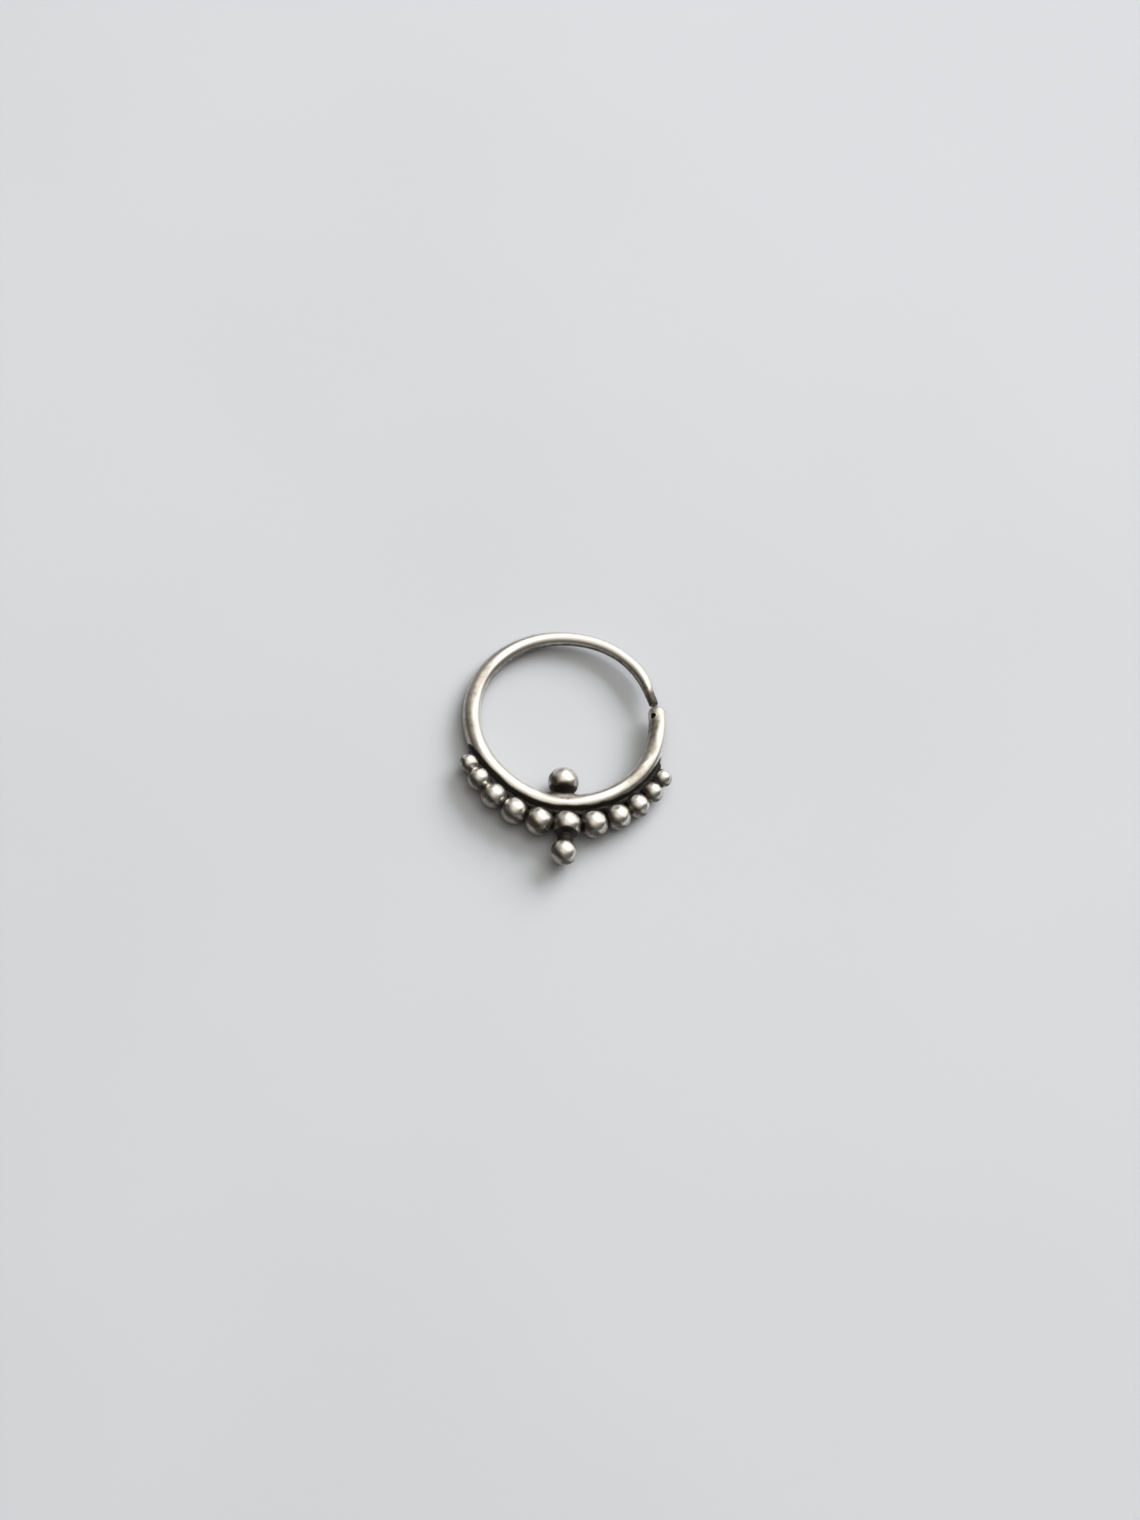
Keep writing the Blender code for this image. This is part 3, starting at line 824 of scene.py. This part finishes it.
def make_seam(sizes):
    """The solder in the groove: circles of an uneven radius round a path under the row of balls."""
    balls = crown_balls(sizes)
    _, _, (low, high) = seam_at(sizes, balls, np.zeros(1))
    angles = np.linspace(low, high, SEAM_ROWS)
    centres, radii, _ = seam_at(sizes, balls, angles)
    ahead = unit(np.gradient(centres, axis=0))
    side = unit(np.cross(ahead, UP))
    top = np.cross(side, ahead)
    around = round_the_tube(SEAM_SIDES)[None, :, None]
    facing = np.cos(around) * side[:, None] + np.sin(around) * top[:, None]
    rows = np.arange(SEAM_ROWS)
    closing = np.minimum(1.0, np.sqrt(np.minimum(rows, rows[::-1]) / SEAM_END_ROWS + SEAM_END_FLAT))
    points = centres[:, None] + (radii * closing)[:, None, None] * facing
    points += (waves(points, SEAM_WAVES) * radii[:, None])[..., None] * facing
    from_end = np.radians(np.minimum(angles - low, high - angles)) * sizes.hoop_diameter / 2
    deep = SEAM_END_BLACK + (SEAM_BLACK - SEAM_END_BLACK) * smooth_step(from_end, *SEAM_FADE)
    black = np.clip(deep[:, None] + waves(points, SEAM_BLACK_WAVES), 0.0, 1.0)
    ends = [black[0].mean(), black[-1].mean()]
    poles = [centres[0], centres[-1]]
    add_closed_tube("solder_seam", points[:, ::-1], poles, black[:, ::-1], ends, sizes)


def make_inner_ball(sizes):
    """The large ball inside the hoop, with patina at its foot and painted shade and painted dark
    reflection over the side towards it.
    """
    to_foot = round_hoop(1.0, INNER_BALL_ANGLE)
    neighbours = [lambda p: to_wire(p, sizes)]
    black_from = [(to_foot, *INNER_BALL_BLACK_AND_SHADE)]
    make_ball(
        "inner_ball", inner_ball(sizes), to_foot, neighbours, black_from, INNER_BALL_SEED, sizes
    )


def make_drop(sizes):
    """The drop and its neck, turned about the line between the two balls' centres.

    Along that line the radius is the fourteenth-power mean of the sphere, sqrt(R^2 - (s - L)^2),
    and the neck, which flares where it leaves the middle ball.
    """
    middle = crown_balls(sizes)[len(LEFT_BALLS)]
    centre, radius = drop_ball(sizes, middle)
    line = centre - middle[0]
    distance = np.linalg.norm(line)
    axis = line / distance
    neck = sizes.neck_diameter / 2
    leaves = math.sqrt(middle[1] ** 2 - neck**2)
    down = np.linspace(math.acos(DROP_SPHERE_START), math.pi - DROP_POLE_GAP, DROP_ROWS)
    root, sphere_start = DROP_ROOT * middle[1], distance - DROP_SPHERE_START * radius
    s = np.concatenate([
        np.linspace(root, sphere_start, NECK_ROWS, endpoint=False), distance - radius * np.cos(down)
    ])
    sphere = np.sqrt(np.maximum(radius**2 - (s - distance) ** 2, 0.0))
    rod = neck * (1 + NECK_FLARE * np.exp(-(((s - leaves) / NECK_FLARE_LENGTH) ** 2)))
    rod *= 1 - smooth_step(s, distance - radius, distance)
    turned = (sphere**NECK_BLEND + rod**NECK_BLEND) ** (1 / NECK_BLEND)
    side = unit(np.cross(UP, axis))
    top = np.cross(axis, side)
    around = round_the_tube(BALL_SIDES)[None, :, None]
    facing = np.cos(around) * side + np.sin(around) * top
    points = middle[0] + s[:, None, None] * axis + turned[:, None, None] * facing
    from_centre = unit(points - centre)
    on_ball = smooth_step((s - distance) / radius, *DROP_FLATS_RISE)
    flattened = 1 + on_ball[:, None] * (hand_flattened(from_centre, DROP_SEED) - 1)
    points = centre + (points - centre) * flattened[..., None]
    uneven = waves(points, DROP_EDGE_WAVES)
    # Patina at the neck with painted shade over the drop's side towards it, and the ball's painted shade
    to_neck = smooth_step(-(from_centre @ axis) + uneven, *NECK_BLACK_AND_SHADE_BELOW)
    black = np.maximum(to_neck, ball_film_and_shade(from_centre, uneven))
    pole = centre + axis * radius * float(hand_flattened(axis[None], DROP_SEED)[0])
    add_closed_tube("drop_ball", points, [middle[0] + root * axis, pole], black, [1.0, 0.0], sizes)


# Materials


class Value:
    """A number socket that writes its sums as Math nodes."""

    def __init__(self, bench, socket):
        self.bench = bench
        self.socket = socket

    def _math(self, operation, first, second):
        node = self.bench.node("ShaderNodeMath", {"operation": operation}, {0: first, 1: second})
        return Value(self.bench, node.outputs[0])

    def __add__(self, other):
        return self._math("ADD", self, other)

    def __radd__(self, other):
        return self._math("ADD", other, self)

    def __sub__(self, other):
        return self._math("SUBTRACT", self, other)

    def __rsub__(self, other):
        return self._math("SUBTRACT", other, self)

    def __mul__(self, other):
        return self._math("MULTIPLY", self, other)

    def __rmul__(self, other):
        return self._math("MULTIPLY", other, self)


class Bench:
    """The nodes of a material or a world, and the one way to add to them."""

    def __init__(self, owner):
        owner.use_nodes = True
        self.tree = owner.node_tree

    def node(self, kind, settings=None, inputs=None):
        node = self.tree.nodes.new(kind)
        for name, setting in (settings or {}).items():
            setattr(node, name, setting)
        self.feed(node, inputs or {})
        return node

    def feed(self, node, inputs):
        for key, value in inputs.items():
            if isinstance(value, Value):
                value = value.socket
            if isinstance(value, bpy.types.NodeSocket):
                self.tree.links.new(value, node.inputs[key])
            else:
                node.inputs[key].default_value = value

    def value(self, kind, settings=None, inputs=None, output=0):
        return Value(self, self.node(kind, settings, inputs).outputs[output])

    def ramp(self, factor, stops, interpolation="EASE"):
        """A colour that goes through (place, colour) stops."""
        node = self.node("ShaderNodeValToRGB", {}, {"Fac": factor})
        line = node.color_ramp
        line.interpolation = interpolation
        while len(line.elements) < len(stops):
            line.elements.new(0.5)
        for element, (place, tone) in zip(line.elements, stops):
            element.position = place
            element.color = (*tone, 1.0)
        return node.outputs["Color"]


def silver_material():
    """Polished silver that turns to tarnish and to black as the piece's own blackening rises, which holds
    patina and painted shade alike.

    m = blackening + (cloud - 0.5) (0.10 + 1.2 blackening (1 - blackening)) picks the colour. The
    black is rougher and less metallic, and a fine grain of handling marks bends the normal.
    """
    found = bpy.data.materials.get("oxidised_silver")
    if found:
        return found
    finish = bpy.context.scene.septum_ring_finish
    material = bpy.data.materials.new("oxidised_silver")
    bench = Bench(material)
    place = bench.node("ShaderNodeTexCoord").outputs["Object"]
    black = bench.value("ShaderNodeAttribute", {"attribute_name": "blackening_and_shade"}, {}, "Fac")
    cloud = bench.value(
        "ShaderNodeTexNoise", {}, {"Vector": place, "Scale": 3600.0, "Detail": 4.0, "Roughness": 0.6}
    )
    grain = bench.value(
        "ShaderNodeTexNoise", {}, {"Vector": place, "Scale": 16000.0, "Detail": 3.0, "Roughness": 0.55}
    )
    strokes = bench.node(
        "ShaderNodeMapping", {"vector_type": "POINT"},
        {"Vector": place, "Rotation": (0.0, 0.0, 0.5), "Scale": (2600.0, 26000.0, 9000.0)},
    ).outputs["Vector"]
    stroke = bench.value("ShaderNodeTexNoise", {}, {"Vector": strokes, "Scale": 1.0, "Detail": 2.0})
    depth = black + (cloud - 0.5) * (0.10 + 1.2 * (black * (1.0 - black)))
    tone = bench.ramp(depth, [
        (0.00, tuple(finish.silver)),
        (0.26, tuple(finish.tint)),
        (0.55, tuple(finish.brown)),
        (0.86, tuple(finish.black)),
    ])
    depth_shown = bench.value(
        "ShaderNodeMapRange", {"interpolation_type": "SMOOTHSTEP"},
        {"Value": depth, "From Min": 0.10, "From Max": 0.80, "To Min": 0.0, "To Max": 1.0},
    )
    roughness = finish.polish + 0.05 * cloud + 0.03 * grain
    roughness = roughness + (finish.patina - finish.polish) * depth_shown
    bump = bench.node(
        "ShaderNodeBump", {},
        {"Strength": 0.4, "Distance": 0.000002, "Height": 0.35 * grain + 0.20 * stroke + 0.9 * cloud},
    )
    bench.feed(bench.tree.nodes["Principled BSDF"], {
        "Base Color": tone,
        "Metallic": 1.0 - 0.35 * depth_shown,
        "Roughness": roughness,
        "Normal": bump.outputs["Normal"],
    })
    return material


def floor_material():
    """Pale matt floor with a very faint unevenness in its tone."""
    look = bpy.context.scene.septum_ring_stage
    material = bpy.data.materials.new("pale_floor")
    bench = Bench(material)
    place = bench.node("ShaderNodeTexCoord").outputs["Object"]
    cloud = bench.node("ShaderNodeTexNoise", {}, {"Vector": place, "Scale": 30.0, "Detail": 2.0})
    pale = tuple(look.floor)
    darker = tuple(FLOOR_UNEVEN_TONE * part for part in pale)
    tone = bench.ramp(cloud.outputs[0], [(0.3, darker), (0.7, pale)])
    bench.feed(bench.tree.nodes["Principled BSDF"], {"Base Color": tone, "Roughness": 0.55})
    return material


# Stage


def add_panel_light(name, radiance, azimuth, elevation, distance, width, height, tint, mirrored=True):
    """A soft panel that faces the ring, whose power is pi times its area times its radiance.

    One that isn't mirrored draws shadows and lights matt surfaces, with no highlight of its own.
    """
    turn = math.radians(azimuth)
    rise = math.radians(elevation)
    place = distance * Vector((
        math.sin(turn) * math.cos(rise), math.cos(turn) * math.cos(rise), math.sin(rise)
    ))
    lamp = bpy.data.lights.new(name, "AREA")
    lamp.shape = "RECTANGLE"
    lamp.size = width
    lamp.size_y = height
    lamp.energy = math.pi * width * height * radiance
    lamp.color = tint
    panel = bpy.data.objects.new(name, lamp)
    panel.location = place
    panel.rotation_mode = "QUATERNION"
    panel.rotation_quaternion = place.to_track_quat("Z", "Y")
    panel.visible_camera = False
    panel.visible_glossy = mirrored
    bpy.context.scene.collection.objects.link(panel)


def add_sky(look):
    """A dim room: radiance rises with the height of the direction, from dark at the horizon."""
    world = bpy.data.worlds.new("dim_room")
    bpy.context.scene.world = world
    bench = Bench(world)
    way = bench.node("ShaderNodeTexCoord").outputs["Generated"]
    height = bench.node("ShaderNodeSeparateXYZ", {}, {0: way}).outputs["Z"]
    zenith = np.array(SKY_TINT) * look.overhead
    stops = [(rise, tuple(portion * zenith)) for rise, portion in SKY_BANDS]
    bench.feed(bench.tree.nodes["Background"], {"Color": bench.ramp(height, stops, "LINEAR")})


def add_floor(look):
    """A round floor at the lowest point of the ring: circles about the origin, closer near it."""
    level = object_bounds()[0].z
    around = round_the_tube(FLOOR_SIDES)
    circles = look.floor_radius * np.linspace(0.0, 1.0, FLOOR_CIRCLES + 1)[1:] ** 2
    rings = circles[:, None, None] * np.stack([np.cos(around), np.sin(around)], axis=-1)
    flat = np.concatenate([rings.reshape(-1, 2), [[0.0, 0.0]]])
    points = np.column_stack([flat, np.full(len(flat), level)])
    here = np.arange(FLOOR_CIRCLES * FLOOR_SIDES).reshape(-1, FLOOR_SIDES)
    onward = np.roll(here, -1, axis=1)
    quads = np.stack([here[:-1], here[1:], onward[1:], onward[:-1]], axis=-1).reshape(-1, 4)
    fan = np.stack([np.full(FLOOR_SIDES, len(points) - 1), here[0], onward[0]], axis=-1)
    mesh = bpy.data.meshes.new("pale_floor")
    mesh.from_pydata(points, [], quads.tolist() + fan.tolist())
    floor = bpy.data.objects.new("pale_floor", mesh)
    bpy.context.scene.collection.objects.link(floor)
    floor.data.materials.append(floor_material())
    floor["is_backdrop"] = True


def add_camera(sizes):
    """The photograph's view: the direction, roll and framing are set about the hoop's centre.

    The distance is the one at which the image's height at the ring fills the sensor.
    """
    rise = math.radians(CAMERA_ELEVATION)
    turn = math.radians(CAMERA_AZIMUTH)
    roll = math.radians(CAMERA_ROLL)
    level = np.array([math.cos(turn), -math.sin(turn), 0.0])
    upright = np.array([
        math.sin(rise) * math.sin(turn), math.sin(rise) * math.cos(turn), math.cos(rise)
    ])
    right = math.cos(roll) * level + math.sin(roll) * upright
    up = math.cos(roll) * upright - math.sin(roll) * level
    back = np.cross(right, up)
    aim = PIXEL * (AIM_RIGHT_PX * right - AIM_DOWN_PX * up)
    distance = IMAGE_HEIGHT_PX * PIXEL * CAMERA_LENS / CAMERA_SENSOR
    origin, tip_right, tip_up, stand = laid_down(
        np.array([[0.0, 0.0, 0.0], right, up, aim + distance * back]), sizes
    )
    right = tip_right - origin
    up = tip_up - origin
    camera = bpy.data.cameras.new("camera")
    camera.lens = CAMERA_LENS
    camera.sensor_width = CAMERA_SENSOR
    camera.clip_start = distance / CAMERA_CLIP
    camera.clip_end = distance * CAMERA_CLIP
    viewer = bpy.data.objects.new("camera", camera)
    axes = np.stack([right, up, np.cross(right, up), stand], axis=1)
    viewer.matrix_world = Matrix([*axes.tolist(), [0.0, 0.0, 0.0, 1.0]])
    bpy.context.scene.collection.objects.link(viewer)
    bpy.context.scene.camera = viewer


# Operators, panel and registration


class SEPTUMRING_OT_hoop(bpy.types.Operator):
    """Bend the wire into a hoop, with its domed end, drilled pit and filed tip"""

    bl_idname = "septum_ring.hoop"
    bl_label = "Hoop"

    def execute(self, context):
        make_hoop(context.scene.septum_ring_sizes, context.scene.septum_ring_finish)
        return {"FINISHED"}


class SEPTUMRING_OT_crown(bpy.types.Operator):
    """Set the row of graduated balls along the outside of the hoop"""

    bl_idname = "septum_ring.crown"
    bl_label = "Crown of balls"

    def execute(self, context):
        make_crown(context.scene.septum_ring_sizes)
        return {"FINISHED"}


class SEPTUMRING_OT_seam(bpy.types.Operator):
    """Lay the solder in the groove between the wire and the row"""

    bl_idname = "septum_ring.seam"
    bl_label = "Solder seam"

    def execute(self, context):
        make_seam(context.scene.septum_ring_sizes)
        return {"FINISHED"}


class SEPTUMRING_OT_inner_ball(bpy.types.Operator):
    """Set the large ball inside the hoop"""

    bl_idname = "septum_ring.inner_ball"
    bl_label = "Inner ball"

    def execute(self, context):
        make_inner_ball(context.scene.septum_ring_sizes)
        return {"FINISHED"}


class SEPTUMRING_OT_drop(bpy.types.Operator):
    """Set the drop ball and its neck below the crown"""

    bl_idname = "septum_ring.drop"
    bl_label = "Drop"

    def execute(self, context):
        make_drop(context.scene.septum_ring_sizes)
        return {"FINISHED"}


class SEPTUMRING_OT_stage(bpy.types.Operator):
    """Add the floor, the soft lights and the camera"""

    bl_idname = "septum_ring.stage"
    bl_label = "Stage"

    def execute(self, context):
        look = context.scene.septum_ring_stage
        add_floor(look)
        add_sky(look)
        add_panel_light("window", look.window, *WINDOW_PANEL)
        add_panel_light("key", look.key, *KEY_PANEL, mirrored=False)
        add_panel_light("side", look.side, *SIDE_PANEL)
        add_camera(context.scene.septum_ring_sizes)
        context.scene.view_settings.view_transform = "Standard"
        return {"FINISHED"}


PIECES = (
    SEPTUMRING_OT_hoop,
    SEPTUMRING_OT_crown,
    SEPTUMRING_OT_seam,
    SEPTUMRING_OT_inner_ball,
    SEPTUMRING_OT_drop,
    SEPTUMRING_OT_stage,
)


class SEPTUMRING_PT_panel(bpy.types.Panel):
    """The ring's sizes, finish and pieces"""

    bl_idname = "SEPTUMRING_PT_panel"
    bl_label = "Septum ring"
    bl_space_type = "VIEW_3D"
    bl_region_type = "UI"
    bl_category = "Septum ring"

    def draw(self, context):
        scene = context.scene
        for group in (scene.septum_ring_sizes, scene.septum_ring_finish, scene.septum_ring_stage):
            box = self.layout.box()
            for name in group.__annotations__:
                box.prop(group, name)
        for piece in PIECES:
            self.layout.operator(piece.bl_idname)


CLASSES = (RingSizes, RingFinish, StageLook, *PIECES, SEPTUMRING_PT_panel)


def register():
    for each in CLASSES:
        bpy.utils.register_class(each)
    bpy.types.Scene.septum_ring_sizes = bpy.props.PointerProperty(type=RingSizes)
    bpy.types.Scene.septum_ring_finish = bpy.props.PointerProperty(type=RingFinish)
    bpy.types.Scene.septum_ring_stage = bpy.props.PointerProperty(type=StageLook)


def unregister():
    del bpy.types.Scene.septum_ring_stage
    del bpy.types.Scene.septum_ring_finish
    del bpy.types.Scene.septum_ring_sizes
    for each in reversed(CLASSES):
        bpy.utils.unregister_class(each)


def main():
    register()
    bpy.ops.septum_ring.hoop()
    bpy.ops.septum_ring.crown()
    bpy.ops.septum_ring.seam()
    bpy.ops.septum_ring.inner_ball()
    bpy.ops.septum_ring.drop()
    bpy.ops.septum_ring.stage()


if __name__ == "__main__":
    main()
